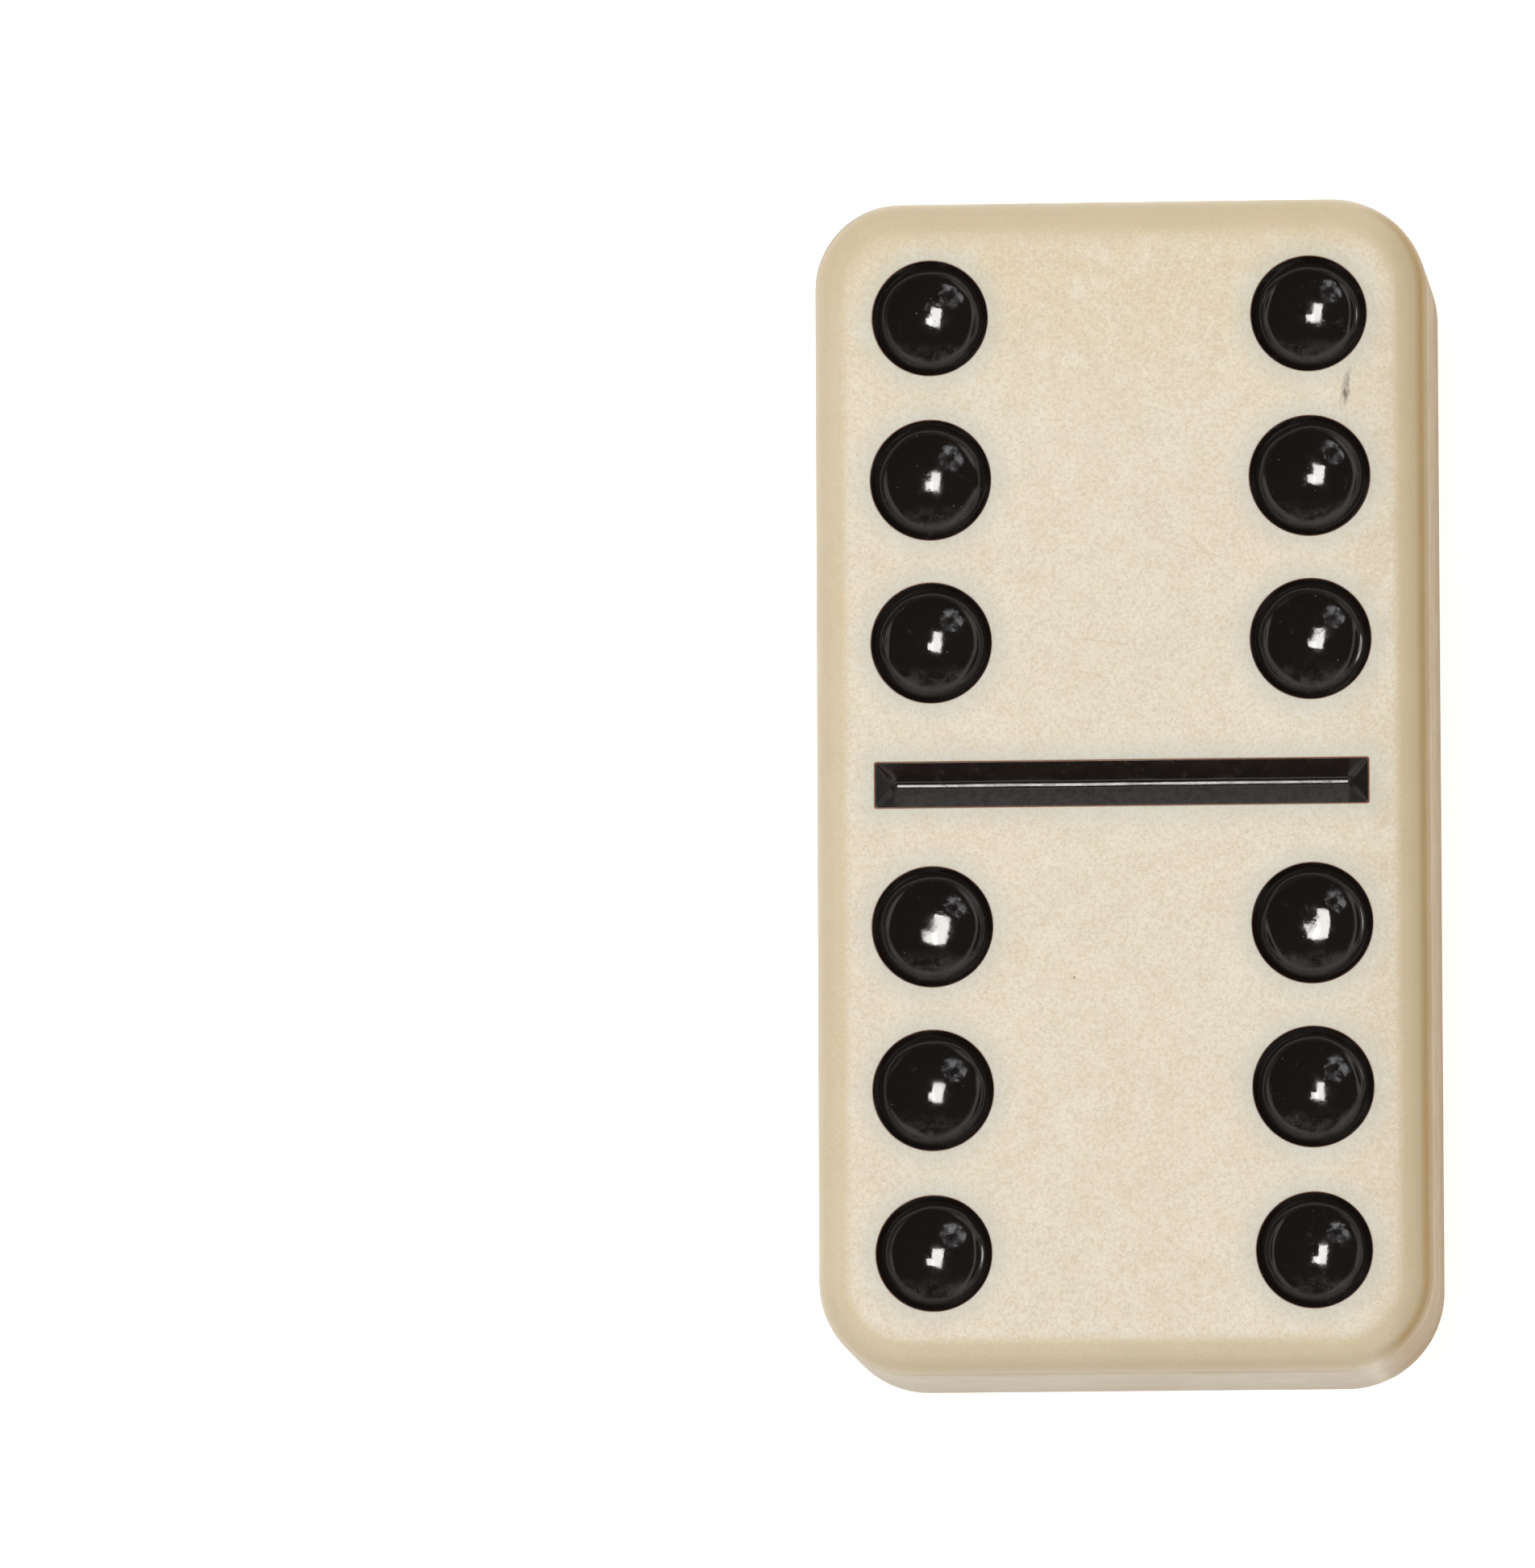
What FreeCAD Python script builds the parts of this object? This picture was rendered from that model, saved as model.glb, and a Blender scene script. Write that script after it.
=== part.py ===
import FreeCAD, Part
import math
import os

# Double-six domino tile: one moulded block with thirteen enamel fills.
# Millimetres.  The origin is the centre of the blank back face, +X runs across
# the tile, +Y along its long axis, and +Z comes out of the numbered face.

# Driving dimensions of the block
TILE_WIDTH = 25.0
TILE_LENGTH = 47.9
TILE_THICKNESS = 12.5
CORNER_RADIUS = 3.8
EDGE_RADIUS = 1.35          # quarter-round along both faces

# Driving dimensions of the twelve pips
PIP_RADIUS = 2.46
CORNER_PIP_RADIUS = 2.36    # the four pips nearest the tile's corners
PIP_DEPTH = 0.90
PIP_RIM_WIDTH = 0.36        # steep ring between the face and the bowl
PIP_RIM_DEPTH = 0.44
PIP_COLUMN_X = 7.71
PIP_ROW_Y = (5.79, 12.45, 19.08)
ENAMEL = 0.12               # thickness of the paint in every recess

# Driving dimensions of the divider bar
BAR_LENGTH = 20.10
BAR_WIDTH = 1.88
BAR_DEPTH = 0.65
BAR_HIP = 0.90              # length of the sloping facet at each end
BAR_VALLEY = 0.16           # width of the flat along the bottom of the groove

UP = FreeCAD.Vector(0, 0, 1)
OVERSHOOT = 0.5             # how far an inner cutter stands out of the face


def block():
    """Block with rounded upright corners and a quarter-round along both faces."""
    slab = Part.makeBox(TILE_WIDTH, TILE_LENGTH, TILE_THICKNESS,
                        FreeCAD.Vector(-TILE_WIDTH / 2, -TILE_LENGTH / 2, 0))
    upright = [edge for edge in slab.Edges if edge.BoundBox.ZLength > 0.1]
    slab = slab.makeFillet(CORNER_RADIUS, upright)
    rims = [edge for edge in slab.Edges if edge.BoundBox.ZLength < 0.01]
    return slab.makeFillet(EDGE_RADIUS, rims)


def dish(x, y, radius, inset, top):
    """Round recess: a steep rim ring, then a bowl.  The inset moves its wall inwards."""
    face = TILE_THICKNESS
    rim = radius - inset
    bowl = radius - PIP_RIM_WIDTH - inset
    shelf = face - PIP_RIM_DEPTH + inset
    bottom = face - PIP_DEPTH + inset
    sphere = (bowl ** 2 + (shelf - bottom) ** 2) / (2 * (shelf - bottom))
    half_angle = math.asin(bowl / sphere) / 2
    on_bowl = FreeCAD.Vector(sphere * math.sin(half_angle), 0,
                             bottom + sphere * (1 - math.cos(half_angle)))
    corners = [FreeCAD.Vector(bowl, 0, shelf), FreeCAD.Vector(rim, 0, face),
               FreeCAD.Vector(rim, 0, top), FreeCAD.Vector(0, 0, top)]
    lowest = FreeCAD.Vector(0, 0, bottom)
    edges = [Part.Arc(lowest, on_bowl, corners[0]).toShape()]
    for start, end in zip(corners, corners[1:] + [lowest]):
        if (start - end).Length > 0.001:
            edges.append(Part.LineSegment(start, end).toShape())
    profile = Part.Face(Part.Wire(edges))
    solid = profile.revolve(FreeCAD.Vector(0, 0, 0), UP, 360)
    solid.translate(FreeCAD.Vector(x, y, 0))
    return solid


def outline(length, width, z):
    """Closed rectangle, centred on the Z axis."""
    x, y = length / 2, width / 2
    points = [(-x, -y), (x, -y), (x, y), (-x, y), (-x, -y)]
    return Part.makePolygon([FreeCAD.Vector(px, py, z) for px, py in points])


def groove(inset, top):
    """Trough with a V section and a sloping facet at each end."""
    mouth = outline(BAR_LENGTH - 2 * inset, BAR_WIDTH - 2 * inset, TILE_THICKNESS)
    valley = outline(BAR_LENGTH - 2 * BAR_HIP - 2 * inset, BAR_VALLEY,
                     TILE_THICKNESS - BAR_DEPTH + inset)
    trough = Part.makeLoft([valley, mouth], True, True)
    if top > TILE_THICKNESS:
        lid = Part.Face(mouth).extrude(UP * (top - TILE_THICKNESS))
        trough = trough.fuse(lid).removeSplitter()
    return trough


def pip_places():
    """Node name, centre and radius of each pip, row by row from the far end."""
    rows = sorted([sign * y for sign in (1, -1) for y in PIP_ROW_Y], reverse=True)
    places = []
    for number, y in enumerate(rows, start=1):
        radius = CORNER_PIP_RADIUS if abs(y) == max(PIP_ROW_Y) else PIP_RADIUS
        for side, x in (("left", -PIP_COLUMN_X), ("right", PIP_COLUMN_X)):
            places.append((f"pip_enamel_row{number}_{side}", x, y, radius))
    return places


def build():
    """Every sub-part as a solid, by node name."""
    face, open_top = TILE_THICKNESS, TILE_THICKNESS + OVERSHOOT
    recesses = [groove(0, face)]
    parts = {"divider_enamel": groove(0, face).cut(groove(ENAMEL, open_top))}
    for name, x, y, radius in pip_places():
        recess = dish(x, y, radius, 0, face)
        recesses.append(recess)
        parts[name] = recess.cut(dish(x, y, radius, ENAMEL, open_top))
    parts["tile_body"] = block().cut(recesses)
    return parts


os.makedirs("parts", exist_ok=True)
for name, shape in build().items():
    solids = shape.Solids
    if len(solids) != 1 or not solids[0].isValid():
        raise RuntimeError(f"{name} is not one valid solid")
    solids[0].exportStep(f"parts/{name}.step")
    print(f"{name:28s} {solids[0].Volume:10.3f} mm3  {len(solids[0].Faces)} faces")
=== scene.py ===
import math
import random

import bpy
from mathutils import Matrix, Vector, geometry, noise


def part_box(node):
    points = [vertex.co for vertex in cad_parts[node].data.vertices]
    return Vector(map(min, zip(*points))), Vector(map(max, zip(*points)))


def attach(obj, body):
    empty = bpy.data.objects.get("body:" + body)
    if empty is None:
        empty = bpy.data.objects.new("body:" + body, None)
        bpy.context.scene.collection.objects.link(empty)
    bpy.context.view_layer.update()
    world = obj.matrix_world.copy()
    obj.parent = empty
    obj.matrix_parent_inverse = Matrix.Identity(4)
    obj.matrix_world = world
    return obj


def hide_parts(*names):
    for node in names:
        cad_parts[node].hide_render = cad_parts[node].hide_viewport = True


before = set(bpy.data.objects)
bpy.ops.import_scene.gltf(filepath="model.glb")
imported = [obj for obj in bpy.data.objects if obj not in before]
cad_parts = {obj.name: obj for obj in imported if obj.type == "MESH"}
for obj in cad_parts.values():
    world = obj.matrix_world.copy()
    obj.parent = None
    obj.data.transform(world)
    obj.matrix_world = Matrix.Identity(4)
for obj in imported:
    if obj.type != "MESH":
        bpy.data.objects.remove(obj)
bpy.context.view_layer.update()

# Double-six domino tile.  Row frame: metres, origin at the centre of the blank
# back face, +Z out of the numbered face, +Y along the long axis.
MM = 0.001
SEED = 66

# The block, read from the frame
BODY_LOW, BODY_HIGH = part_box("tile_body")
WIDTH, LENGTH, THICK = BODY_HIGH - BODY_LOW

# Cross-section of the rolled edges and the side wall
EDGE = 1.60 * MM            # radius of the rolled edge on both faces
LAPPED_EDGE = 1.30 * MM     # inset of the lapped faces, which take in the roll's gentle start
SKIN = 0.03 * MM            # how far in from the side wall the glossy skin ends
SHRINK = 0.005 * MM         # keeps every crest just inside the CAD box
ROLL_POWER = 2.05           # 2 is a true quarter-round; more is a slower start
CORNER_RADII = (3.95 * MM, 3.50 * MM, 3.85 * MM, 4.00 * MM)   # from +X+Y, anticlockwise
CORNER_STEPS = 20
PLAN_CORNER = 3.8 * MM      # corner radius that the materials use
FLAT_MARGIN = 0.25 * MM     # flat strip between the rolled edge and a face's loose points
GRID_PITCH = 0.9 * MM       # spacing of those points
GRID_CLEAR = 0.30 * MM      # how far they stay from a face's outline and from the pips
GRID_CORNER = 2.6 * MM      # corner radius of the area that they fill
GROOVE_CLEAR_X, GROOVE_CLEAR_Y = 10.5 * MM, 1.4 * MM

# Recesses, read from the frame
PIPS = sorted(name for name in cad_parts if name.startswith("pip_enamel"))
BAR = "divider_enamel"
PIP_STEPS = 112
RIM_WIDTH = 0.36 * MM       # steep ring between the face and the bowl
RIM_DEPTH = 0.44 * MM
BOWL = 5.3 * MM             # radius of the paint's bowl
POOLED_BOWL = 12.5 * MM     # the same in the middle of the two bowls just below the groove
POOLED_REACH = 1.15 * MM    # how far from a bowl's middle the pooled paint spreads
POOLED_ROW = 0.16           # those two bowls lie within this share of the length from the middle
COAT = 0.06 * MM            # thickness of the paint in the pips
PAINT = 0.12 * MM           # thickness of the enamel in the groove
PAINT_SUNK = 0.02 * MM      # how far the paint's edge lies below the face
RIM_SOFT = 0.025 * MM       # sanded rounding where the face meets a recess
PAINT_IN = 0.4 * RIM_SOFT   # how far inside the rim a pip's paint starts
RIM_SLOPE = 1.30            # fall of the steep ring per length inwards
KINK = 0.84                 # share of the radius where the steep ring meets the bowl
KINK_SOFT = 0.13 * MM       # how softly it does
BEAD = 0.80                 # share of the radius where the paint's low bead lies
BEAD_WIDTH = 0.12 * MM
BEAD_HEIGHT = 0.062 * MM
BAR_HIP = 0.90 * MM
BAR_VALLEY = 0.16 * MM
BAR_SOFT = 0.09 * MM        # rounding of the groove's corners
BAR_PAINT_VALLEY = 0.07 * MM
BAR_START = 0.03            # share of the way in to the valley where the paint starts
BAR_TURN_IN = 0.84          # share of the way in where its straight walls end
BAR_LEAN = 0.035            # cross slope of the paint in the valley
BAR_CORNER_STEPS = 5
BAR_SIDE_STEPS = 80


# --------------------------------------------------------------- mesh helpers

def ring_points(inset, z):
    """Points round the block's plan outline, drawn in by inset, all at height z."""
    signs = ((1, 1), (-1, 1), (-1, -1), (1, -1))
    points = []
    for quarter, ((sx, sy), corner) in enumerate(zip(signs, CORNER_RADII)):
        centre_x, centre_y = sx * (WIDTH / 2 - corner), sy * (LENGTH / 2 - corner)
        for step in range(CORNER_STEPS + 1):
            angle = math.pi / 2 * (quarter + step / CORNER_STEPS)
            radius = corner - inset
            points.append(Vector((centre_x + radius * math.cos(angle),
                                  centre_y + radius * math.sin(angle), z)))
    return points


def circle_points(centre, radius, z, steps=PIP_STEPS):
    turn = 2 * math.pi / steps
    return [Vector((centre.x + radius * math.cos(turn * k), centre.y + radius * math.sin(turn * k), z))
            for k in range(steps)]


class Shell:
    """Vertices and faces of a mesh that is put together from closed rings."""

    def __init__(self):
        self.points, self.faces = [], []

    def ring(self, points):
        first = len(self.points)
        self.points.extend(points)
        return list(range(first, first + len(points)))

    def join(self, one, other):
        """Quads between two rings of equal length."""
        count = len(one)
        for k in range(count):
            after = (k + 1) % count
            self.faces.append((one[k], one[after], other[after], other[k]))

    def stack(self, rings):
        """A band through several rings; returns the first and last ring's indices."""
        indices = [self.ring(points) for points in rings]
        for one, other in zip(indices, indices[1:]):
            self.join(one, other)
        return indices[0], indices[-1]

    def fan(self, ring, point):
        tip = len(self.points)
        self.points.append(point)
        for k in range(len(ring)):
            self.faces.append((ring[k], ring[(k + 1) % len(ring)], tip))

    def sheet(self, outline, holes, extra, z, upward):
        """Flat triangulated area inside one ring, outside the others, through extra points."""
        loops = [outline] + holes
        flat = [self.points[i].to_2d() / MM for loop in loops for i in loop] + [p / MM for p in extra]
        edges, start = [], 0
        for loop in loops:
            count = len(loop)
            edges += [(start + k, start + (k + 1) % count) for k in range(count)]
            start += count
        known = [i for loop in loops for i in loop]
        known += self.ring([Vector((p.x, p.y, z)) for p in extra])
        found, _, triangles, sources, _, _ = geometry.delaunay_2d_cdt(flat, edges, [], 1, 1e-5)
        index = [known[source[0]] for source in sources]
        inside = [[self.points[i].to_2d() for i in loop] for loop in holes]
        for triangle in triangles:
            middle = sum((found[i] for i in triangle), Vector((0, 0))) / 3 * MM
            if any(within(middle, hole) for hole in inside):
                continue
            corners = [index[i] for i in triangle]
            self.faces.append(tuple(corners if upward else reversed(corners)))

    def build(self, name, material):
        mesh = bpy.data.meshes.new(name)
        mesh.from_pydata([tuple(p) for p in self.points], [], self.faces)
        mesh.validate()
        mesh.shade_smooth()
        mesh.materials.append(material)
        piece = bpy.data.objects.new(name, mesh)
        bpy.context.scene.collection.objects.link(piece)
        return piece


def within(point, loop):
    """Whether a flat point lies inside a convex loop that runs anticlockwise."""
    for one, other in zip(loop, loop[1:] + loop[:1]):
        side, reach = other - one, point - one
        if side.x * reach.y - side.y * reach.x < 0:
            return False
    return True


# --------------------------------------------------------------- the recesses

def pip_shape(name):
    """Centre, radius and depth of a pip, from its node's box."""
    low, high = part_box(name)
    return (low + high) / 2, (high.x - low.x) / 2, high.z - low.z


def paint_depth(radius, share, pooled, wander):
    """Depth of the paint's surface at a share of its radius: steep ring, soft kink, bowl."""
    edge = radius - PAINT_IN
    r = edge * share
    wall = PAINT_SUNK + (edge - r) * (RIM_SLOPE + wander)
    level = RIM_DEPTH + RIM_WIDTH * 0.05 + ((KINK * radius) ** 2 - r ** 2) / (2 * BOWL)
    if pooled and r < POOLED_REACH:
        flatten = (1 / BOWL - 1 / POOLED_BOWL) / 4 * POOLED_REACH ** 2
        level -= flatten * (1 - (r / POOLED_REACH) ** 2) ** 2
    blend = max(KINK_SOFT - abs(wall - level), 0.0) / KINK_SOFT
    return min(wall, level) - blend * blend * KINK_SOFT / 4


def crescent(radius, share, turn, seed):
    """Height of the low bead just inside the kink, strongest towards the left and right."""
    strength = 0.10 + 0.90 * math.cos(turn) ** 2
    patchy = 0.5 + noise.noise(Vector((math.cos(turn) * 1.4, math.sin(turn) * 1.4, seed)))
    offset = (share - BEAD) * radius / BEAD_WIDTH
    return BEAD_HEIGHT * strength * patchy * math.exp(-offset * offset)


def recess_profile(radius, depth):
    """(radius, depth) pairs down the moulded recess, which lies a thin coat below the paint."""
    pairs = [(radius + RIM_SOFT, 0.0), (radius + 0.35 * RIM_SOFT, 0.12 * RIM_SOFT),
             (radius, 0.5 * RIM_SOFT), (radius - 0.1 * RIM_SOFT, 2.2 * RIM_SOFT)]
    for share in (0.97, 0.92, 0.88, 0.84, 0.80, 0.7, 0.55, 0.4, 0.2):
        level = paint_depth(radius, share, False, 0.0) + COAT
        pairs.append((radius * share, min(level, depth)))
    return pairs


def body_hole(shell, name):
    """One pip's recess in the block.  Returns the flat ring that the face is built up to."""
    centre, radius, depth = pip_shape(name)
    rings = [circle_points(centre, radius + 3 * RIM_SOFT, THICK)]
    rings += [circle_points(centre, r, THICK - d) for r, d in recess_profile(radius, depth)]
    first, last = shell.stack(rings)
    shell.fan(last, Vector((centre.x, centre.y, THICK - depth)))
    return first


def pip_paint(name, material, rng):
    """The enamel in one pip: a slightly uneven dish with the recess as its underside."""
    centre, radius, depth = pip_shape(name)
    pooled = -POOLED_ROW * LENGTH < centre.y < 0
    lean = Vector((rng.uniform(-1, 1), rng.uniform(-1, 1))) * 0.012
    seed = rng.uniform(0, 100)
    shares = [1.0, 0.995, 0.985, 0.97, 0.95, 0.93, 0.91, 0.895, 0.88, 0.87, 0.86, 0.85, 0.84, 0.83, 0.82,
              0.81, 0.795, 0.77, 0.74] + [0.70 - 0.05 * k for k in range(14)]
    shell = Shell()
    rings = []
    for share in shares:
        ring = circle_points(centre, (radius - PAINT_IN) * share, THICK)
        inside = 1 - share ** 8
        for point in ring:
            offset = (point - centre).to_2d()
            along = Vector((offset.x, offset.y, 0)) / radius
            wander = 0.16 * noise.noise(along.normalized() * 1.7 + Vector((0, 0, seed)))
            swirl = noise.noise(along * 2.2 + Vector((0, 0, seed)))
            ripple = noise.noise(along * 6.0 + Vector((9, 0, seed)))
            turn = math.atan2(offset.y, offset.x)
            point.z += crescent(radius, share, turn, seed) - paint_depth(radius, share, pooled, wander)
            point.z += inside * (0.008 * MM * swirl + 0.0016 * MM * ripple + lean.dot(offset))
        rings.append(ring)
    top_first, top_last = shell.stack(rings)
    pool = sum(shell.points[i].z for i in top_last) / len(top_last)
    shell.fan(top_last, Vector((centre.x, centre.y, pool)))
    under = [circle_points(centre, r, THICK - d) for r, d in recess_profile(radius, depth)[3:]]
    under_first, under_last = shell.stack([list(reversed(ring)) for ring in under])
    shell.fan(under_last, Vector((centre.x, centre.y, THICK - depth)))
    shell.join(list(reversed(under_first)), top_first)
    return shell.build(name.replace("enamel", "paint"), material)


def bar_ring(half_length, half_width, z, soft):
    """Rectangle with rounded corners round the groove's centre, with points along its long sides."""
    points = []
    for quarter, (sx, sy) in enumerate(((1, 1), (-1, 1), (-1, -1), (1, -1))):
        for step in range(BAR_CORNER_STEPS + 1):
            angle = math.pi / 2 * (quarter + step / BAR_CORNER_STEPS)
            points.append(Vector((sx * (half_length - soft) + soft * math.cos(angle),
                                  sy * (half_width - soft) + soft * math.sin(angle), z)))
        if quarter % 2 == 0:
            for step in range(1, BAR_SIDE_STEPS):
                x = sx * (half_length - soft) * (1 - 2 * step / BAR_SIDE_STEPS)
                points.append(Vector((x, sy * half_width, z)))
    return points


def bar_rings(half_length, half_width, rows, valley=BAR_VALLEY):
    """Rings down a trough with a V section and a sloping facet at each end.

    Each row is the share of the way in to the valley, and the depth there."""
    rings = []
    for share, depth in rows:
        width = half_width + (valley / 2 - half_width) * share
        rings.append(bar_ring(half_length - BAR_HIP * share, width, THICK - depth,
                              min(BAR_SOFT + 0.30 * MM * share, 0.9 * width)))
    return rings


def bar_shape():
    """Half length, half width and depth of the groove, from its node's box."""
    low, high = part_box(BAR)
    return (high.x - low.x) / 2, (high.y - low.y) / 2, high.z - low.z


def body_groove(shell):
    """The groove in the block.  Returns the flat ring that the face is built up to."""
    half_length, half_width, depth = bar_shape()
    flat = 3 * RIM_SOFT
    rings = [bar_ring(half_length + flat, half_width + flat, THICK, BAR_SOFT + flat),
             bar_ring(half_length + RIM_SOFT, half_width + RIM_SOFT, THICK, BAR_SOFT + RIM_SOFT),
             bar_ring(half_length, half_width, THICK - 0.5 * RIM_SOFT, BAR_SOFT)]
    rings += bar_rings(half_length, half_width, [(share, depth * share) for share in (0.06, 0.5, 1.0)])
    first, last = shell.stack(rings)
    shell.faces.append(tuple(last))
    return first


def bar_paint(material):
    """The enamel in the groove: two walls and two end facets that run into a soft wavy valley."""
    half_length, half_width, depth = bar_shape()
    floor = depth - PAINT
    # straight walls, then a parabola that ends level at the valley
    slope = (floor - PAINT_SUNK) / (BAR_TURN_IN - BAR_START + (1 - BAR_TURN_IN) / 2)
    rows = []
    for share in (BAR_START, 0.06, 0.15, 0.3, 0.45, 0.6, 0.72, 0.80, 0.84, 0.88, 0.92, 0.95, 0.98, 1.0):
        past = max(0.0, share - BAR_TURN_IN)
        run = share - BAR_START - past * past / (2 * (1 - BAR_TURN_IN))
        rows.append((share, PAINT_SUNK + slope * run))
    shell = Shell()
    rings = bar_rings(half_length, half_width, rows, BAR_PAINT_VALLEY)
    for (share, _), ring in zip(rows, rings):
        for point in ring:
            slow = noise.noise(Vector((point.x / (2.3 * MM), share * 1.5, 4.0)))
            quick = noise.noise(Vector((point.x / (0.6 * MM), share * 4.0, 8.0)))
            point.z += (0.010 * slow + 0.004 * quick) * MM * min(1.0, 2 * share)
            point.z -= BAR_LEAN * point.y * share ** 4
            point.y += 0.012 * slow * MM * min(1.0, 2 * share)
    top_first, top_last = shell.stack(rings)
    half = len(top_last) // 2
    for k in range(half - 1):
        # across the valley, from one long side to the other
        a, b = top_last[k], top_last[k + 1]
        c, d = top_last[-k - 2], top_last[-k - 1]
        shell.faces.append((a, b, c, d))
    under = bar_rings(half_length, half_width, [(0.02, PAINT_SUNK + 0.02 * MM), (0.06, depth * 0.06),
                                                (1.0, depth)])
    under_first, under_last = shell.stack([list(reversed(ring)) for ring in under])
    shell.faces.append(tuple(under_last))
    shell.join(list(reversed(under_first)), top_first)
    return shell.build(BAR.replace("enamel", "paint"), material)


# --------------------------------------------------------------- the block

def edge_profile():
    """(inset, distance from the face's plane) pairs from the flat face out to the side wall."""
    pairs = [(EDGE + FLAT_MARGIN, 0.0)]
    steps = 26
    for k in range(steps + 1):
        angle = math.pi / 2 * k / steps
        out = math.sin(angle) ** (2 / ROLL_POWER) if k else 0.0
        down = 1 - max(0.0, math.cos(angle)) ** (2 / ROLL_POWER)
        pairs.append((SHRINK + (EDGE - SHRINK) * (1 - out), EDGE * down))
    return pairs


def face_points(loops, rng):
    """A loose grid of extra points over the flat face, clear of the given loops."""
    reach = EDGE + FLAT_MARGIN + GRID_CLEAR
    half_x, half_y = WIDTH / 2 - reach, LENGTH / 2 - reach
    columns, rows = int(2 * half_x / GRID_PITCH), int(2 * half_y / GRID_PITCH)
    points = []
    for i in range(columns + 1):
        for j in range(rows + 1):
            p = Vector((-half_x + 2 * half_x * i / columns, -half_y + 2 * half_y * j / rows))
            p += Vector((rng.uniform(-1, 1), rng.uniform(-1, 1))) * 0.2 * GRID_PITCH
            over = Vector((max(0.0, abs(p.x) - half_x + GRID_CORNER),
                           max(0.0, abs(p.y) - half_y + GRID_CORNER)))
            in_groove = abs(p.y) < GROOVE_CLEAR_Y and abs(p.x) < GROOVE_CLEAR_X
            if over.length > GRID_CORNER or in_groove:
                continue
            if all((p - centre).length > radius + GRID_CLEAR for centre, radius in loops):
                points.append(p)
    return points


def tile_body(material):
    """The moulded block: back face, rolled edges, side wall, numbered face, recesses."""
    rng = random.Random(SEED)
    shell = Shell()
    profile = edge_profile()
    back = [ring_points(inset, rise) for inset, rise in profile]
    front = [ring_points(inset, THICK - rise) for inset, rise in reversed(profile)]
    wall_low, wall_high = back[-1][0].z, front[0][0].z
    wall = [ring_points(SHRINK, wall_low + (wall_high - wall_low) * k / 6) for k in range(1, 6)]
    back_ring, front_ring = shell.stack(back + wall + front)
    holes = [body_hole(shell, name) for name in PIPS] + [body_groove(shell)]
    shell.sheet(back_ring, [], face_points([], rng), 0.0, False)
    pips = [pip_shape(name) for name in PIPS]
    shell.sheet(front_ring, holes,
                face_points([(centre.to_2d(), radius) for centre, radius, _ in pips], rng), THICK, True)
    return shell.build("tile_block", material)


# --------------------------------------------------------------- node helpers

class Graph:
    """A short way to write a material's or the world's nodes."""

    def __init__(self, owner):
        owner.use_nodes = True
        self.tree = owner.node_tree
        self.tree.nodes.clear()

    def add(self, kind, **settings):
        node = self.tree.nodes.new("ShaderNode" + kind)
        for name, value in settings.items():
            setattr(node, name, value)
        return node

    def feed(self, socket, value):
        """Links a socket, or sets its constant."""
        if isinstance(value, bpy.types.NodeSocket):
            self.tree.links.new(value, socket)
        elif value is not None:
            socket.default_value = value

    def math(self, operation, *values, clamp=False):
        node = self.add("Math", operation=operation, use_clamp=clamp)
        for socket, value in zip(node.inputs, values):
            self.feed(socket, value)
        return node.outputs[0]

    def vector(self, operation, *values):
        node = self.add("VectorMath", operation=operation)
        sockets = node.inputs if operation != "SCALE" else (node.inputs[0], node.inputs[3])
        for socket, value in zip(sockets, values):
            self.feed(socket, value)
        scalar = operation in ("LENGTH", "DOT_PRODUCT", "DISTANCE")
        return node.outputs["Value" if scalar else "Vector"]

    def split(self, vector):
        node = self.add("SeparateXYZ")
        self.feed(node.inputs[0], vector)
        return node.outputs[0], node.outputs[1], node.outputs[2]

    def join(self, x, y, z):
        node = self.add("CombineXYZ")
        for socket, value in zip(node.inputs, (x, y, z)):
            self.feed(socket, value)
        return node.outputs[0]

    def smooth(self, value, low, high, to_low=0.0, to_high=1.0):
        """Eased step between two bounds; low may be above high."""
        node = self.add("MapRange", interpolation_type="SMOOTHSTEP")
        for socket, given in zip(node.inputs, (value, low, high, to_low, to_high)):
            self.feed(socket, given)
        return node.outputs[0]

    def noise(self, vector, scale, detail=2.0, roughness=0.5, distortion=0.0):
        node = self.add("TexNoise")
        self.feed(node.inputs["Vector"], vector)
        for name, value in (("Scale", scale), ("Detail", detail), ("Roughness", roughness),
                            ("Distortion", distortion)):
            self.feed(node.inputs[name], value)
        return node.outputs[0]

    def cells(self, vector, scale):
        """Distance to the nearest of scattered points, and that point's random colour."""
        node = self.add("TexVoronoi")
        self.feed(node.inputs["Vector"], vector)
        self.feed(node.inputs["Scale"], scale)
        return node.outputs["Distance"], node.outputs["Color"]

    def mix(self, factor, one, other, blend="MIX"):
        node = self.add("Mix", data_type="RGBA", blend_type=blend)
        colours = [s for s in node.inputs if s.type == "RGBA"]
        self.feed(node.inputs[0], factor)
        self.feed(colours[0], one)
        self.feed(colours[1], other)
        return next(s for s in node.outputs if s.type == "RGBA")

    def blend(self, factor, one, other):
        """The same for two plain numbers."""
        node = self.add("Mix", data_type="FLOAT")
        numbers = [s for s in node.inputs if s.type == "VALUE"]
        for socket, value in zip(numbers, (factor, one, other)):
            self.feed(socket, value)
        return node.outputs[0]

    def bump(self, height, distance, strength=1.0, normal=None):
        node = self.add("Bump")
        self.feed(node.inputs["Height"], height)
        self.feed(node.inputs["Distance"], distance)
        self.feed(node.inputs["Strength"], strength)
        self.feed(node.inputs["Normal"], normal)
        return node.outputs[0]

    def finish(self, shader):
        out = self.add("OutputMaterial")
        self.tree.links.new(shader.outputs[0], out.inputs[0])


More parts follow.
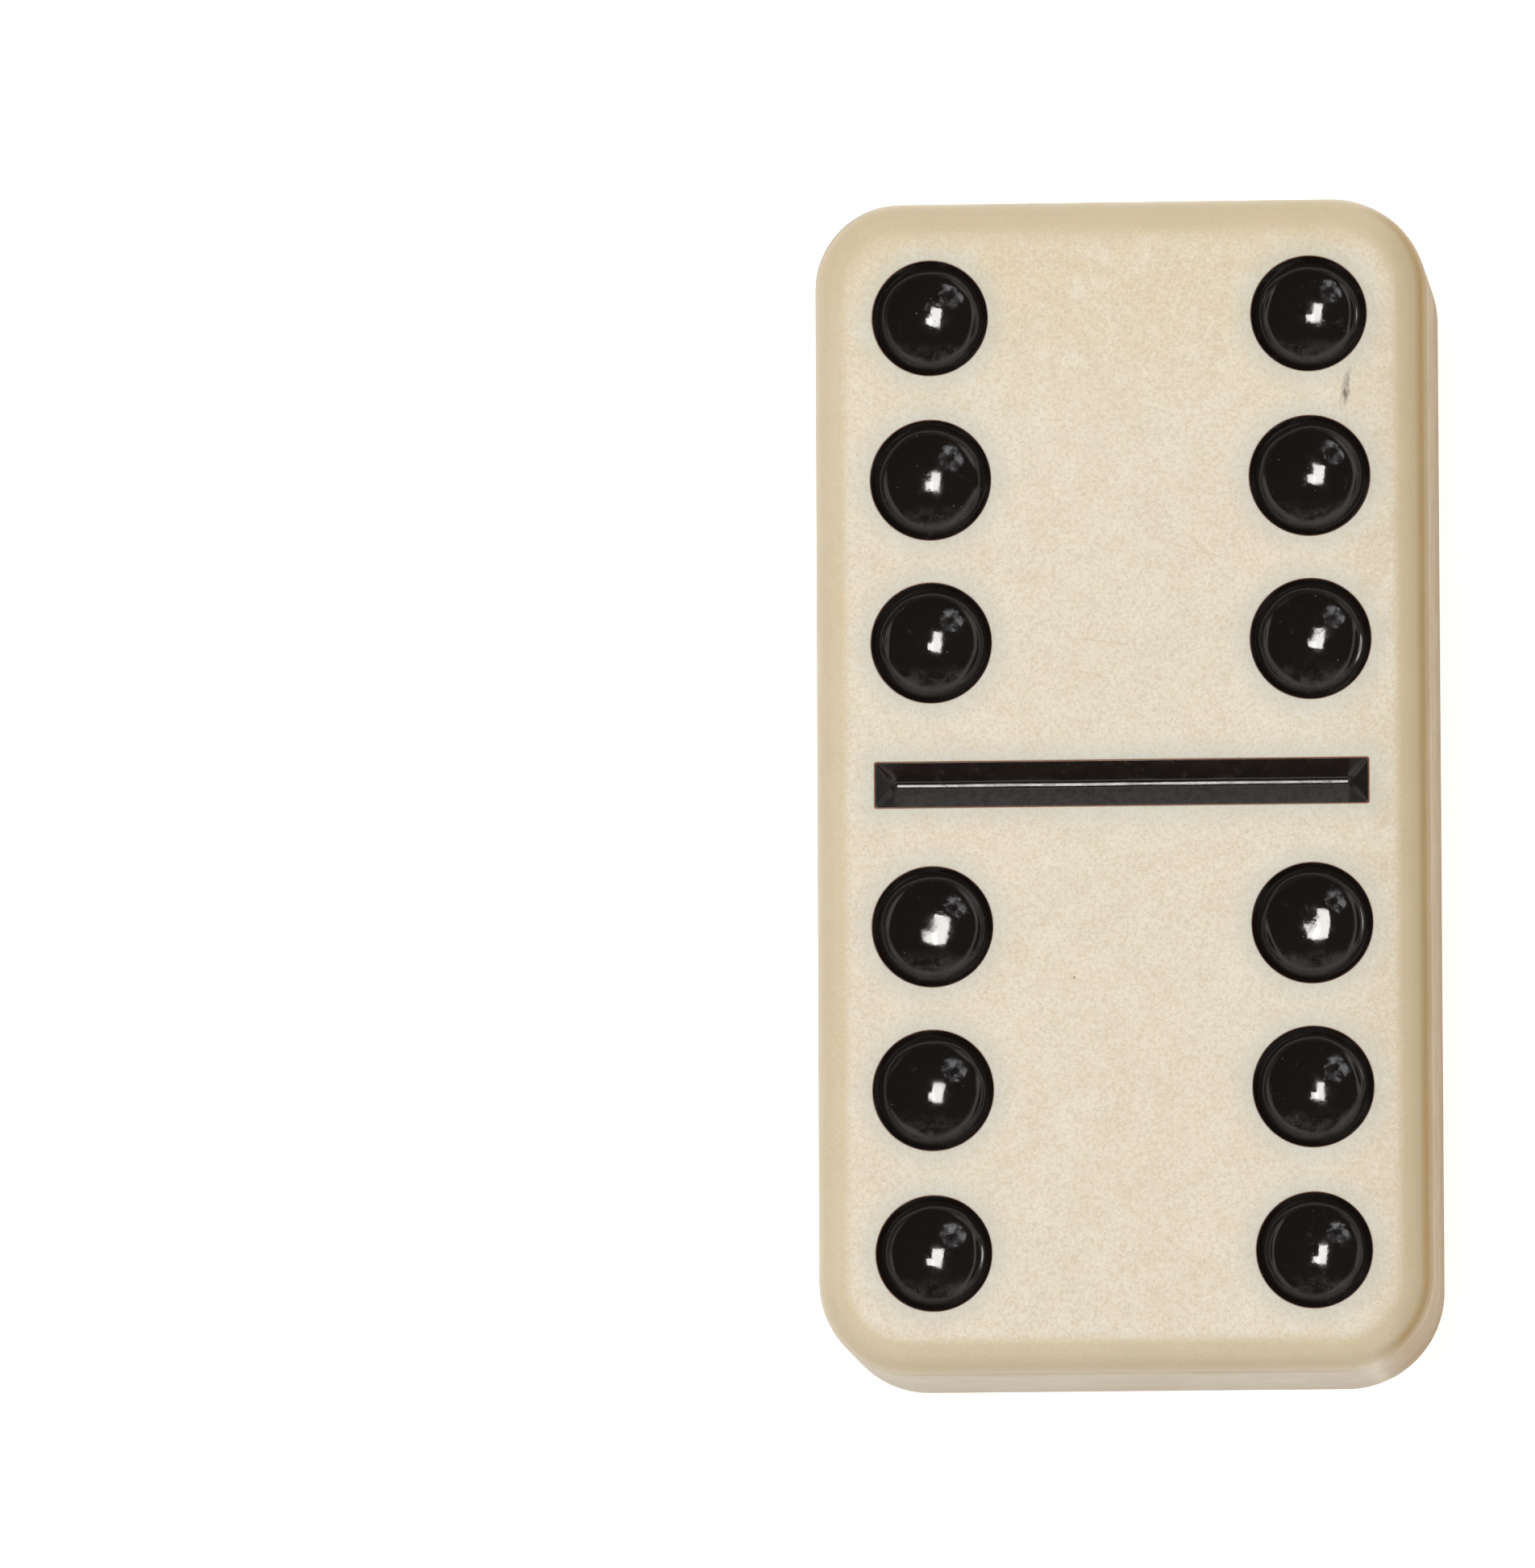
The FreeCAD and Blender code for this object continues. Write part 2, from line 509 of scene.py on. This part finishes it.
def rgb(red, green, blue):
    """Linear colour from the 0-255 values that a screen shows."""
    def linear(value):
        v = value / 255
        return v / 12.92 if v <= 0.04045 else ((v + 0.055) / 1.055) ** 2.4
    return (linear(red), linear(green), linear(blue), 1.0)


def place_mm(graph):
    """Position in the row frame, in millimetres."""
    coordinates = graph.add("TexCoord").outputs["Object"]
    return graph.vector("SCALE", coordinates, 1000.0)


def pip_distance(graph, x, y):
    """Distance in millimetres outwards from the nearest pip's rim."""
    centres = [pip_shape(name) for name in PIPS]
    column = max(c.x for c, _, _ in centres) / MM
    nearest = None
    rows = sorted({round(abs(c.y) / MM, 3): r / MM for c, r, _ in centres}.items())
    for row, radius in rows:
        across = graph.math("SUBTRACT", graph.math("ABSOLUTE", x), column)
        along = graph.math("SUBTRACT", graph.math("ABSOLUTE", y), row)
        gap = graph.math("SUBTRACT", graph.vector("LENGTH", graph.join(across, along, 0.0)), radius)
        nearest = gap if nearest is None else graph.math("MINIMUM", nearest, gap)
    return nearest


def box_distance(graph, x, y, half_x, half_y, corner):
    """Distance in millimetres outwards from a centred rectangle with rounded corners."""
    over_x = graph.math("SUBTRACT", graph.math("ABSOLUTE", x), half_x - corner)
    over_y = graph.math("SUBTRACT", graph.math("ABSOLUTE", y), half_y - corner)
    outside = graph.vector("LENGTH", graph.join(graph.math("MAXIMUM", over_x, 0.0),
                                                graph.math("MAXIMUM", over_y, 0.0), 0.0))
    inside = graph.math("MINIMUM", graph.math("MAXIMUM", over_x, over_y), 0.0)
    return graph.math("SUBTRACT", graph.math("ADD", outside, inside), corner)


def bar_distance(graph, x, y):
    """Distance in millimetres outwards from the groove's mouth."""
    half_length, half_width, _ = bar_shape()
    return box_distance(graph, x, y, half_length / MM, half_width / MM, BAR_SOFT / MM)


def fibres(graph, place, angles, length, width, thinness):
    """Short hair-like marks in several directions: the crests of stretched noise."""
    marks = None
    for number, angle in enumerate(angles):
        turn = graph.add("VectorRotate", rotation_type="Z_AXIS")
        graph.feed(turn.inputs["Vector"], place)
        graph.feed(turn.inputs["Angle"], math.radians(angle))
        stretched = graph.vector("MULTIPLY", turn.outputs[0], (1 / length, 1 / width, 1 / width))
        shifted = graph.vector("ADD", stretched, (7.3 * number, 3.1 * number, 0.0))
        value = graph.noise(shifted, 1.0, 1.0, 0.5, 0.35)
        crest = graph.math("ABSOLUTE", graph.math("SUBTRACT", value, 0.5))
        line = graph.smooth(crest, thinness, 0.0)
        marks = line if marks is None else graph.math("MAXIMUM", marks, line)
    return marks


def scratches(graph, place, rng, count, reach_x, reach_y):
    """Fine straight scratches scattered over a face, each fading out at its ends."""
    marks = None
    for _ in range(count):
        middle = (rng.uniform(-reach_x, reach_x), rng.uniform(-reach_y, reach_y), 0.0)
        turn = graph.add("VectorRotate", rotation_type="Z_AXIS")
        graph.feed(turn.inputs["Vector"], graph.vector("SUBTRACT", place, middle))
        graph.feed(turn.inputs["Angle"], rng.uniform(0, math.pi))
        along, across, _ = graph.split(turn.outputs[0])
        line = graph.smooth(graph.math("ABSOLUTE", across), rng.uniform(0.035, 0.06), 0.0)
        half = rng.uniform(0.8, 3.2)
        fade = graph.smooth(graph.math("ABSOLUTE", along), half, 0.3 * half)
        mark = graph.math("MULTIPLY", line, fade)
        marks = mark if marks is None else graph.math("MAXIMUM", marks, mark)
    return marks


# --------------------------------------------------------------- materials

LAPPED_FRONT = rgb(237, 228, 211)
LAPPED_BACK = rgb(238, 229, 211)
LAPPED_PALE = rgb(243, 237, 223)
LAPPED_PINK = rgb(239, 223, 203)
LAPPED_WARM = rgb(232, 217, 186)
LAPPED_DULL = rgb(226, 214, 193)
GRAIN = rgb(214, 197, 167)
ROLLED = rgb(220, 206, 176)
ROLLED_FAR = rgb(206, 188, 150)
# painted shade: darker, yellower copy of the rolled edge for the +X side
ROLLED_SHADED = rgb(188, 167, 126)
# painted shade: darker copy for the steep outer part of the rolled edges
ROLLED_STEEP_SHADE = rgb(196, 180, 148)
# painted shade: darker copies of the cream for the upright side wall, browner and darkest along the +X
# side and low down
WALL_SHADE = rgb(186, 171, 150)
WALL_SHADE_PALE = rgb(201, 187, 167)
WALL_SHADED = rgb(172, 142, 98)
WALL_SHADED_TOP = rgb(184, 158, 116)
WALL_SHADED_LOW = rgb(154, 125, 82)
# painted shade: ochre in the crease where the rolled edge meets the side wall
OCHRE_CREASE_SHADE = rgb(174, 138, 74)
SCRATCH = rgb(176, 140, 96)
SPECK = rgb(120, 90, 55)
HALO = rgb(206, 208, 200)
SMUDGE = rgb(112, 106, 97)
AMBER = rgb(150, 88, 40)
BLACK = rgb(24, 19, 16)
BROWN = rgb(62, 34, 18)
# painted reflection: grey for enamel walls that face up towards the light
REFLECTION_GREY = rgb(58, 54, 51)
SMEAR = rgb(58, 50, 46)
DUST = rgb(150, 146, 140)


def lapped_flats(g, place, back, numbered, grain):
    """Colour of the flats, and the strength of the fibres and the scratches on them."""
    x, y, _ = g.split(place)
    # warm and pale clouds, a warmer stretch towards the far end, a duller one towards +X, blotches, and
    # a fine pale grain
    clouds = g.smooth(g.noise(place, 0.13, 3.0, 0.6), 0.36, 0.64)
    flat = g.mix(back, LAPPED_FRONT, LAPPED_BACK)
    flat = g.mix(g.math("MULTIPLY", clouds, 0.42), flat, LAPPED_PINK)
    flat = g.mix(g.math("MULTIPLY", g.smooth(y, 13.0, 22.0, 0.0, 0.75), numbered), flat, LAPPED_WARM)
    flat = g.mix(g.math("MULTIPLY", g.smooth(x, 7.5, 11.0, 0.0, 0.8), numbered), flat, LAPPED_DULL)
    blotches = g.smooth(g.noise(place, 1.15, 4.0, 0.72), 0.50, 0.68)
    flat = g.mix(g.math("MULTIPLY", blotches, g.blend(back, 0.25, 0.60)), flat, LAPPED_PINK)
    pale = g.smooth(g.noise(g.vector("ADD", place, (40.0, 0.0, 0.0)), 0.75, 5.0, 0.75), 0.46, 0.66)
    flat = g.mix(g.math("MULTIPLY", pale, 0.50), flat, LAPPED_PALE)
    flat = g.mix(g.smooth(grain, 0.53, 0.38, 0.0, 0.46), flat, GRAIN)
    flat = g.mix(g.smooth(grain, 0.50, 0.64, 0.0, 0.50), flat, LAPPED_PALE)

    # short fibres, mostly on the back, and scratches
    hairs = fibres(g, place, (12, 49, 84, 127, 163), 1.3, 0.13, 0.030)
    sparse = g.smooth(g.noise(place, 0.7, 2.0), 0.42, 0.62, 0.25, 1.0)
    hair_strength = g.math("MULTIPLY", g.math("MULTIPLY", hairs, sparse), g.blend(back, 0.10, 0.30))
    flat = g.mix(hair_strength, flat, SCRATCH)
    rng = random.Random(SEED + 2)
    scored_back = g.math("MULTIPLY", scratches(g, place, rng, 9, 9.0, 20.0), back)
    scored_front = g.math("MULTIPLY", scratches(g, place, rng, 3, 4.5, 18.0), numbered)
    scored = g.math("MAXIMUM", scored_back, g.math("MULTIPLY", scored_front, 0.3))
    flat = g.mix(g.math("MULTIPLY", scored, 0.62), flat, SCRATCH)
    return flat, hair_strength, scored


def rolled_edges(g, place, edge, far, shaded_side, tint, grain):
    """Colour of the rolled edges, with painted shade: yellower and darker towards +X, darker as they
    steepen, and a painted ochre crease shade where they are steepest along the +X side.
    """
    x, _, _ = g.split(place)
    rolled = g.mix(g.smooth(tint, 0.35, 0.65, 0.0, 0.18), ROLLED, LAPPED_PINK)
    rolled = g.mix(g.smooth(grain, 0.55, 0.38, 0.0, 0.22), rolled, GRAIN)
    rolled = g.mix(g.smooth(grain, 0.50, 0.66, 0.0, 0.14), rolled, LAPPED_PALE)
    rolled = g.mix(g.math("MULTIPLY", far, 0.4), rolled, ROLLED_FAR)
    # painted shade: darker and yellower towards +X
    rolled = g.mix(g.smooth(x, 10.2, 12.2, 0.0, 0.45), rolled, ROLLED_SHADED)
    # painted shade: darker as the roll steepens towards the wall
    rolled = g.mix(g.smooth(edge, -0.9, -0.1, 0.0, 0.5), rolled, ROLLED_STEEP_SHADE)
    # painted crease shade: ochre where the roll is steepest, along the +X side
    steep = g.smooth(edge, -0.58, -0.24)
    return g.mix(g.math("MULTIPLY", steep, g.math("MULTIPLY", shaded_side, 0.85)), rolled, OCHRE_CREASE_SHADE)


def side_wall(g, place, shaded_side, tint):
    """Colour of the side wall, painted darker than the faces as shade on the upright sides: browner and
    darker along the +X side, which faces away from the light, a little lighter there at the top, and
    darkest there towards the back.
    """
    _, _, z = g.split(place)
    wall = g.mix(g.smooth(tint, 0.38, 0.62, 0.0, 0.4), WALL_SHADE, WALL_SHADE_PALE)
    wall = g.mix(shaded_side, wall, WALL_SHADED)
    # painted shade: darkest towards the back, near the floor, on the +X side
    low = g.math("MULTIPLY", g.smooth(z, 10.0, 1.0), g.math("MULTIPLY", shaded_side, 0.7))
    wall = g.mix(low, wall, WALL_SHADED_LOW)
    wall = g.mix(g.math("MULTIPLY", g.smooth(z, 9.8, 11.0), shaded_side), wall, WALL_SHADED_TOP)
    mottle = g.smooth(g.noise(place, 3.0, 4.0, 0.7), 0.40, 0.62, 0.0, 0.18)
    return g.mix(g.math("MULTIPLY", mottle, g.blend(shaded_side, 1.0, 0.4)), wall, GRAIN)


def brown_specks(g, place, colour):
    """The colour with a few tiny brown specks in it."""
    distance, number = g.cells(place, 0.55)
    red, green, _ = g.split(number)
    speck = g.smooth(g.math("SUBTRACT", distance, g.math("MULTIPLY", green, 0.030)), 0.018, 0.0)
    speck = g.math("MULTIPLY", speck, g.math("GREATER_THAN", red, 0.80))
    return g.mix(g.math("MULTIPLY", speck, 0.7), colour, SPECK)


def paint_surround(g, place, numbered, colour):
    """The colour with a cool halo on the face round the paint, and an amber lip beside it."""
    x, y, _ = g.split(place)
    gap = g.math("MINIMUM", pip_distance(g, x, y), bar_distance(g, x, y))
    halo = g.math("MULTIPLY", g.smooth(gap, 1.15, 0.0, 0.0, 0.42), numbered)
    colour = g.mix(halo, colour, HALO)
    lip = g.math("MULTIPLY", g.smooth(gap, 0.045, -0.01), numbered)
    return g.mix(lip, colour, AMBER)


def grey_smudge(g, place, numbered, colour):
    """The colour with a smudge between the two farthest pips at +X."""
    turn = g.add("VectorRotate", rotation_type="Z_AXIS")
    g.feed(turn.inputs["Vector"], g.vector("SUBTRACT", place, (9.25, 16.05, THICK / MM)))
    g.feed(turn.inputs["Angle"], 0.22)
    reach = g.vector("LENGTH", g.vector("MULTIPLY", turn.outputs[0], (3.6, 0.85, 0.0)))
    strokes = g.smooth(g.noise(g.vector("MULTIPLY", place, (2.4, 0.8, 1.0)), 1.8, 4.0, 0.6), 0.36, 0.66)
    smudge = g.math("MULTIPLY", g.smooth(reach, 1.0, 0.1), g.math("MULTIPLY", strokes, numbered))
    return g.mix(smudge, colour, SMUDGE)


def tile_roughness(g, place, lapped, side):
    """Satin flats, glossier rolled edges, and a duller side wall."""
    satin = g.smooth(g.noise(place, 1.1, 5.0, 0.65), 0.3, 0.7, 0.50, 0.62)
    gloss = g.smooth(g.noise(place, 0.5, 3.0), 0.3, 0.7, 0.32, 0.42)
    gloss = g.math("ADD", gloss, g.math("MULTIPLY", side, 0.15))
    return g.blend(lapped, gloss, satin)


def tile_relief(g, place, lapped, side, hair_strength, scored):
    """Normal of the fine relief, whose heights are in millimetres."""
    lapped_relief = g.math("MULTIPLY", g.noise(place, 7.0, 4.0, 0.7), 0.0030)
    lapped_relief = g.math("SUBTRACT", lapped_relief, g.math("MULTIPLY", hair_strength, 0.004))
    lapped_relief = g.math("SUBTRACT", lapped_relief, g.math("MULTIPLY", scored, 0.006))
    relief = g.math("MULTIPLY", lapped_relief, lapped)
    relief = g.math("ADD", relief, g.math("MULTIPLY", g.noise(place, 0.9, 2.0), 0.005))
    relief = g.math("ADD", relief, g.math("MULTIPLY", g.noise(place, 4.0, 2.0), 0.0010))
    relief = g.math("MULTIPLY", relief, g.math("SUBTRACT", 1.0, g.math("MULTIPLY", side, 0.8)))
    return g.bump(relief, MM)


def tile_material():
    """Cream moulding compound: lapped, grainy flats between smooth, glossier rolled edges."""
    material = bpy.data.materials.new("cream_moulding")
    g = Graph(material)
    place = place_mm(g)
    x, y, z = g.split(place)

    # where each zone lies; edge is the distance outwards from the plan outline
    edge = box_distance(g, x, y, WIDTH / 2 / MM, LENGTH / 2 / MM, PLAN_CORNER / MM)
    wander = g.math("MULTIPLY", g.math("SUBTRACT", g.noise(place, 0.8, 4.0, 0.6), 0.5), 0.22)
    bound = g.math("ADD", g.math("ADD", edge, wander), LAPPED_EDGE / MM)
    far = g.smooth(y, 19.0, 22.5)
    lapped = g.smooth(bound, g.blend(far, 0.26, 0.40), g.blend(far, -0.30, -1.00))
    back = g.smooth(z, 0.6 * THICK / MM, 0.4 * THICK / MM)
    numbered = g.math("SUBTRACT", 1.0, back)
    # painted shade: the +X side, which faces away from the light, and a little of the near end; the
    # rolled edge and side wall are painted darker and browner there
    shaded_side = g.math("MAXIMUM", g.smooth(x, 9.5, 11.6), g.smooth(y, -21.5, -23.4, 0.0, 0.14))
    skin = g.math("ADD", edge, g.blend(shaded_side, SKIN / MM, 0.17))
    side = g.smooth(skin, -0.04, 0.015)

    grain = g.noise(place, 6.5, 3.0, 0.8, 0.6)
    tint = g.noise(place, 0.35, 3.0, 0.6)
    flat, hair_strength, scored = lapped_flats(g, place, back, numbered, grain)
    rolled = rolled_edges(g, place, edge, far, shaded_side, tint, grain)
    rolled = g.mix(side, rolled, side_wall(g, place, shaded_side, tint))
    colour = g.mix(lapped, rolled, flat)
    colour = brown_specks(g, place, colour)
    colour = paint_surround(g, place, numbered, colour)
    colour = grey_smudge(g, place, numbered, colour)

    shader = g.add("BsdfPrincipled")
    g.feed(shader.inputs["Base Color"], colour)
    g.feed(shader.inputs["Roughness"], tile_roughness(g, place, lapped, side))
    g.feed(shader.inputs["Normal"], tile_relief(g, place, lapped, side, hair_strength, scored))
    shader.inputs["IOR"].default_value = 1.54
    shader.inputs["Specular IOR Level"].default_value = 0.22
    shader.inputs["Subsurface Weight"].default_value = 0.35
    shader.inputs["Subsurface Radius"].default_value = (1.0, 0.72, 0.42)
    shader.inputs["Subsurface Scale"].default_value = 0.9 * MM
    g.finish(shader)
    return material


def enamel_shader(g, place, thin, reflection_and_dull, hazy):
    """Glossy black enamel, brown where thin, grey and rougher where a reflection is painted in, with
    smears and a little dust on it.
    """
    colour = g.mix(thin, BLACK, BROWN)
    # painted reflection in grey
    colour = g.mix(reflection_and_dull, colour, REFLECTION_GREY)
    smear = g.smooth(g.noise(place, 1.25, 5.0, 0.72, 0.5), 0.58, 0.74)
    colour = g.mix(g.math("MULTIPLY", smear, 0.35), colour, SMEAR)
    distance, number = g.cells(place, 3.4)
    red, green, _ = g.split(number)
    fleck = g.smooth(g.math("SUBTRACT", distance, g.math("MULTIPLY", green, 0.06)), 0.045, 0.0)
    fleck = g.math("MULTIPLY", fleck, g.math("GREATER_THAN", red, 0.74))
    fleck = g.math("MULTIPLY", fleck, g.smooth(g.noise(place, 0.8, 3.0, 0.6), 0.40, 0.56))
    colour = g.mix(g.math("MULTIPLY", fleck, 0.6), colour, DUST)
    roughness = g.smooth(g.noise(place, 1.7, 4.0, 0.6), 0.35, 0.75, 0.05, 0.12)
    roughness = g.math("ADD", roughness, g.math("MULTIPLY", smear, 0.22))
    roughness = g.math("ADD", g.math("ADD", roughness, hazy), g.math("MULTIPLY", reflection_and_dull, 0.25))
    roughness = g.math("ADD", roughness, g.math("MULTIPLY", fleck, 0.5))
    ripple = g.math("MULTIPLY", g.noise(place, 1.6, 2.0), 0.0035)
    fine = g.math("MULTIPLY", g.noise(place, 6.0, 3.0, 0.6), 0.0011)
    dust = g.math("MULTIPLY", fleck, 0.006)
    normal = g.bump(g.math("ADD", g.math("ADD", ripple, fine), dust), MM)
    shader = g.add("BsdfPrincipled")
    g.feed(shader.inputs["Base Color"], colour)
    g.feed(shader.inputs["Roughness"], roughness)
    g.feed(shader.inputs["Normal"], normal)
    shader.inputs["IOR"].default_value = 1.5
    shader.inputs["Specular IOR Level"].default_value = 0.36
    g.finish(shader)


def pip_material():
    """Enamel of the pips, with a painted grey reflection in the near part of each bowl and a hazy ring
    in each.
    """
    material = bpy.data.materials.new("pip_enamel")
    g = Graph(material)
    place = place_mm(g)
    x, y, _ = g.split(place)
    gap = pip_distance(g, x, y)

    # painted reflection: grey in the near part of each bowl, whose wall there faces up towards the
    # light; the rows are evenly spaced
    places = sorted({abs(pip_shape(name)[0].y) / MM for name in PIPS})
    pitch = (places[-1] - places[0]) / (len(places) - 1)
    low = places[0] - pitch / 2
    local = g.math("WRAP", g.math("SUBTRACT", g.math("ABSOLUTE", y), low), pitch, 0.0)
    local = g.math("MULTIPLY", g.math("SUBTRACT", local, pitch / 2), g.math("SIGN", y))
    patch = g.math("MULTIPLY", g.smooth(local, -0.75, -1.45), g.smooth(gap, -0.30, -0.60))
    broken = g.smooth(g.noise(place, 1.6, 6.0, 0.75, 0.4), 0.40, 0.62)
    grey_reflection = g.math("MULTIPLY", g.math("MULTIPLY", patch, broken), 0.6)
    hazy = g.math("MULTIPLY", g.smooth(gap, -0.60, -0.50), g.smooth(gap, -0.22, -0.30, 0.0, 0.17))
    enamel_shader(g, place, g.smooth(gap, -0.05, 0.0), grey_reflection, hazy)
    return material


def bar_material():
    """Enamel that is thin, and so brown, along the far wall and the mouth, and rougher with a painted
    grey reflection on the near wall.
    """
    material = bpy.data.materials.new("groove_enamel")
    g = Graph(material)
    place = place_mm(g)
    x, y, _ = g.split(place)
    half_length = bar_shape()[0] / MM - 0.7
    mouth = g.smooth(bar_distance(g, x, y), -0.07, 0.0)
    patchy = g.noise(place, 1.4, 5.0, 0.7)
    far_wall = g.math("MULTIPLY", g.smooth(y, 0.10, 0.75), g.smooth(patchy, 0.35, 0.62, 0.0, 0.20))
    spotty = g.smooth(g.noise(place, 3.2, 5.0, 0.75), 0.36, 0.58, 0.50, 1.0)
    ends = g.smooth(g.math("ABSOLUTE", x), half_length, half_length - 0.25)
    # painted reflection: the near wall faces up towards the light, grey in patches
    near_wall = g.math("MULTIPLY", g.math("MULTIPLY", g.smooth(y, -0.10, -0.17), ends), spotty)
    valley = g.smooth(g.math("ABSOLUTE", y), 0.14, 0.06, 0.03, 0.13)
    facet = g.smooth(g.math("ABSOLUTE", x), half_length - 0.2, half_length, 0.0, 0.15)
    hazy = g.math("MAXIMUM", valley, facet)
    enamel_shader(g, place, g.math("MAXIMUM", mouth, far_wall), near_wall, hazy)
    return material


# --------------------------------------------------------------- studio

CAMERA_RIGHT, CAMERA_BELOW = math.radians(3.36), math.radians(5.92)
CAMERA_HEIGHT = 800 * MM    # above the numbered face
CAMERA_AIM = Vector((-14.40 * MM, 0.11 * MM, THICK))
CAMERA_ROLL = math.radians(-0.207)
CAMERA_LENS = 456.0         # on Blender's 36 mm sensor
LAMP_DISTANCE = 0.60
LAMP_RADIANCE = 23.5
LAMP_COLOUR = (1.0, 0.985, 0.94)
FLOOR_HALF = 2.0


def facing(back, roll=0.0):
    """Rotation of a camera or lamp that looks along the reverse of back, with +Y upwards."""
    back = back.normalized()
    right = Vector((0, 1, 0)).cross(back).normalized()
    up = back.cross(right)
    turn = Matrix((right * math.cos(roll) + up * math.sin(roll),
                   up * math.cos(roll) - right * math.sin(roll), back))
    return turn.transposed().to_euler()


def camera():
    data = bpy.data.cameras.new("camera")
    data.lens = CAMERA_LENS
    data.clip_start, data.clip_end = 0.01, 10.0
    eye = bpy.data.objects.new("camera", data)
    direction = Vector((math.tan(CAMERA_RIGHT), -math.tan(CAMERA_BELOW), 1))
    eye.location = Vector((0, 0, THICK)) + direction * CAMERA_HEIGHT
    eye.rotation_euler = facing(eye.location - CAMERA_AIM, CAMERA_ROLL)
    bpy.context.scene.collection.objects.link(eye)
    bpy.context.scene.camera = eye


def softbox(name, toward, width, height, roll=0.0):
    """Rectangular lamp in a direction from the tile, facing it."""
    data = bpy.data.lights.new(name, "AREA")
    data.shape = "RECTANGLE"
    data.size, data.size_y = width, height
    data.energy = LAMP_RADIANCE * 4 * width * height
    data.color = LAMP_COLOUR
    lamp = bpy.data.objects.new(name, data)
    back = Vector(toward).normalized()
    lamp.location = Vector((0, 0, THICK)) + back * LAMP_DISTANCE
    lamp.rotation_euler = facing(back, roll)
    bpy.context.scene.collection.objects.link(lamp)


def ring_lamp(toward, inner, outer):
    """Dim, patchy ring that shows as a mottled ring beside each pip's bright reflection."""
    material = bpy.data.materials.new("ring_lamp")
    g = Graph(material)
    coordinates = g.add("TexCoord").outputs["Object"]
    patchy = g.smooth(g.noise(coordinates, 13.0, 6.0, 0.75, 1.0), 0.46, 0.60, 0.05, 6.5)
    emission = g.add("Emission")
    emission.inputs["Color"].default_value = (0.93, 0.95, 1.0, 1.0)
    g.feed(emission.inputs["Strength"], patchy)
    g.finish(emission)
    steps = 48
    turns = [2 * math.pi * k / steps for k in range(steps)]
    points = [(r * math.cos(t), r * math.sin(t), 0) for r in (inner, outer) for t in turns]
    faces = [(k, (k + 1) % steps, steps + (k + 1) % steps, steps + k) for k in range(steps)]
    mesh = bpy.data.meshes.new("ring_lamp")
    mesh.from_pydata(points, [], faces)
    mesh.materials.append(material)
    lamp = bpy.data.objects.new("ring_lamp", mesh)
    back = Vector(toward).normalized()
    lamp.location = Vector((0, 0, THICK)) + back * LAMP_DISTANCE
    lamp.rotation_euler = facing(back)
    bpy.context.scene.collection.objects.link(lamp)


def sky():
    """Dim overhead, with a band of light half-way down and some more from beyond the far end."""
    world = bpy.data.worlds.new("studio")
    bpy.context.scene.world = world
    g = Graph(world)
    direction = g.add("TexCoord").outputs["Generated"]
    across, along, up = g.split(direction)
    band = g.math("MULTIPLY", g.smooth(up, 0.76, 0.68), g.smooth(up, 0.53, 0.61))
    sides = g.vector("DOT_PRODUCT", g.join(g.math("ABSOLUTE", across), along, 1.0), (0.15, -0.35, 1.42))
    far = g.math("MULTIPLY", g.smooth(along, 0.55, 0.95), 0.40)
    strength = g.math("ADD", g.math("MULTIPLY", band, sides), g.math("ADD", far, 0.09))
    background = g.add("Background")
    background.inputs["Color"].default_value = (1.0, 0.985, 0.96, 1.0)
    g.feed(background.inputs["Strength"], strength)
    out = g.add("OutputWorld")
    g.tree.links.new(background.outputs[0], out.inputs[0])


def floor():
    """Pale sheet that gives off some light of its own, so that no shadow shows on it."""
    material = bpy.data.materials.new("light_table")
    g = Graph(material)
    shader = g.add("BsdfPrincipled")
    shader.inputs["Base Color"].default_value = (0.93, 0.93, 0.93, 1.0)
    shader.inputs["Roughness"].default_value = 0.75
    shader.inputs["Emission Color"].default_value = (0.95, 0.97, 1.0, 1.0)
    shader.inputs["Emission Strength"].default_value = 0.68
    g.finish(shader)
    corners = [(x * FLOOR_HALF, y * FLOOR_HALF, 0) for x, y in ((-1, -1), (1, -1), (1, 1), (-1, 1))]
    mesh = bpy.data.meshes.new("floor")
    mesh.from_pydata(corners, [], [(0, 1, 2, 3)])
    mesh.materials.append(material)
    sheet = bpy.data.objects.new("floor", mesh)
    bpy.context.scene.collection.objects.link(sheet)


# --------------------------------------------------------------- assembly

def stand_for(piece, node):
    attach(piece, "root")
    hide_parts(node)


stand_for(tile_body(tile_material()), "tile_body")
stand_for(bar_paint(bar_material()), BAR)
pip_enamel = pip_material()
paint_rng = random.Random(SEED + 1)
for pip in PIPS:
    stand_for(pip_paint(pip, pip_enamel, paint_rng), pip)

floor()
sky()
softbox("window", (-0.135, 0.098, 1), 0.088, 0.175, roll=-0.10)
softbox("window_foot", (-0.028, 0.165, 1), 0.055, 0.065)
ring_lamp((-0.403, -0.252, 1), 0.035, 0.105)
camera()
bpy.context.scene.view_settings.view_transform = "Standard"
